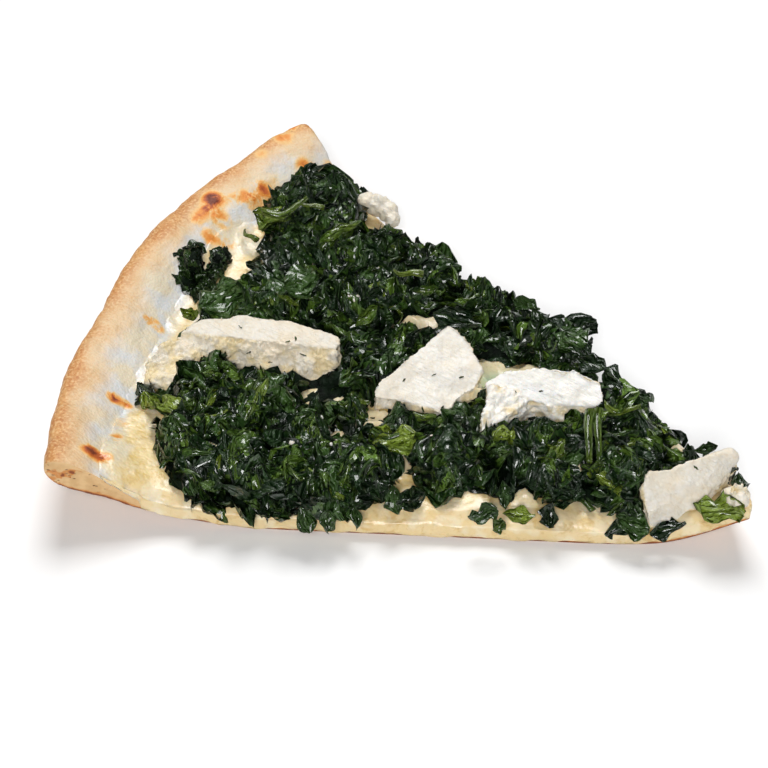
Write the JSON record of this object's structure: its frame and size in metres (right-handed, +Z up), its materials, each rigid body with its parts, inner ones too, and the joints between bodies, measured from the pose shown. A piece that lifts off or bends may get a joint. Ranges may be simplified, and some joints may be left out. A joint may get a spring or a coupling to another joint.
{
  "type": "white pizza slice",
  "caption": "Thin-crust slice of white pizza with melted cheese, a heap of cooked chopped spinach and dollops of ricotta, sagging in the middle with its tip and crust raised.",
  "frame": {"origin": "centre of the footprint, on the surface that the slice lies on", "axes": "+X along the slice from the crust to the tip, +Y across it, +Z up"},
  "size_m": [0.2212, 0.187, 0.0262],
  "materials": {
    "baked_dough": "dry, floury and slightly blistered",
    "melted_cheese": "glossy and lumpy",
    "spinach": "wet and wrinkled",
    "ricotta": "moist, smooth on top and crumbly at the edges"
  },
  "bodies": {
    "root": {"dough": "baked_dough", "melted_cheese": "melted_cheese", "spinach_heap": "spinach", "spinach_clump": "spinach", "ricotta_rim": "ricotta", "ricotta_middle": "ricotta", "ricotta_crescent": "ricotta", "ricotta_tip": "ricotta", "ricotta_crumb": "ricotta"}
  },
  "joints": []
}
